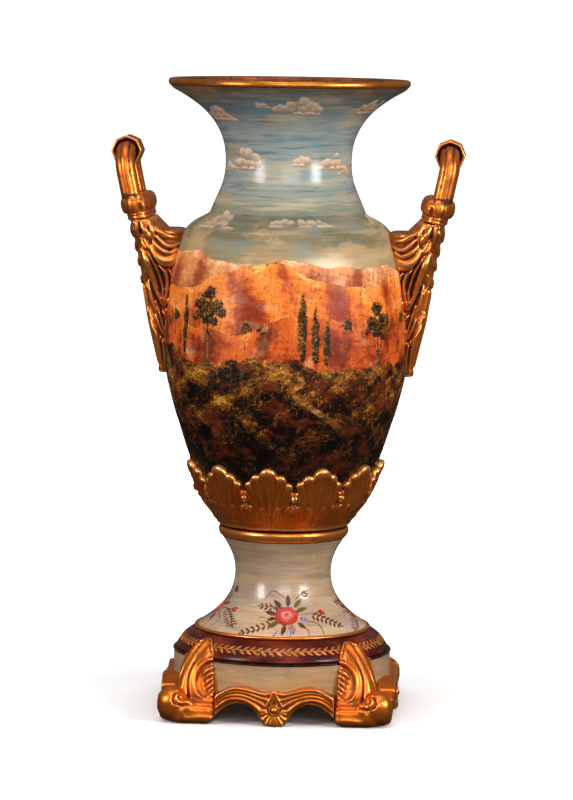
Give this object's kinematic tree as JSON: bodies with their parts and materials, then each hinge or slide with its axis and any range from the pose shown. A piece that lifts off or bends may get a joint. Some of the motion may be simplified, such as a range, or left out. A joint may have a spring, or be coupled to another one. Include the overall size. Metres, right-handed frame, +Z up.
{
  "type": "floor vase",
  "caption": "Footed baluster floor vase with a flared neck, draped side handles, a leaf calyx and a round plinth on scrolled corner brackets.",
  "frame": {"origin": "on the floor, on the vase's axis", "axes": "+Z up along the vase's axis, -Y towards the front, the handles on -X and +X"},
  "size_m": [0.561, 0.3832, 1],
  "materials": {
    "gilt": "antique gold paint over cast resin, satin, with dark brown left in the recesses",
    "gilt_dark": "antique gold paint over cast resin, more brown showing",
    "sky_glaze": "hand-painted streaky sky under a glossy varnish",
    "landscape_glaze": "hand-painted landscape under a finely crackled glossy varnish",
    "cream_glaze": "streaky cream paint with a painted rose spray under glossy varnish",
    "cream_paint": "streaky cream paint, satin varnish",
    "burgundy_lacquer": "burgundy lacquer with a painted gold leaf band, glossy",
    "steel": "zinc-plated",
    "felt": "dark felt"
  },
  "bodies": {
    "root": {"lip_ring": "gilt", "leaf_calyx": "gilt", "knop_ring": "gilt", "foot_fillet": "gilt", "corner_bracket_front_right": "gilt", "corner_bracket_back_right": "gilt", "corner_bracket_back_left": "gilt", "corner_bracket_front_left": "gilt", "apron_front": "gilt", "apron_right": "gilt", "apron_back": "gilt", "apron_left": "gilt", "handle_bow_right": "gilt", "handle_grip_right": "gilt_dark", "handle_collar_right": "gilt", "handle_drape_right": "gilt", "handle_screw_right_upper": "steel", "handle_screw_right_lower": "steel", "handle_bow_left": "gilt", "handle_grip_left": "gilt_dark", "handle_collar_left": "gilt", "handle_drape_left": "gilt", "handle_screw_left_upper": "steel", "handle_screw_left_lower": "steel", "neck": "sky_glaze", "body": "landscape_glaze", "foot_stem": "cream_glaze", "dome_ring": "burgundy_lacquer", "plinth_drum": "cream_paint", "floor_pad_front_right": "felt", "floor_pad_back_right": "felt", "floor_pad_back_left": "felt", "floor_pad_front_left": "felt", "tie_rod": "steel", "rod_washer_top": "steel", "rod_nut_top": "steel", "rod_washer_bottom": "steel", "rod_nut_bottom": "steel"}
  },
  "joints": []
}
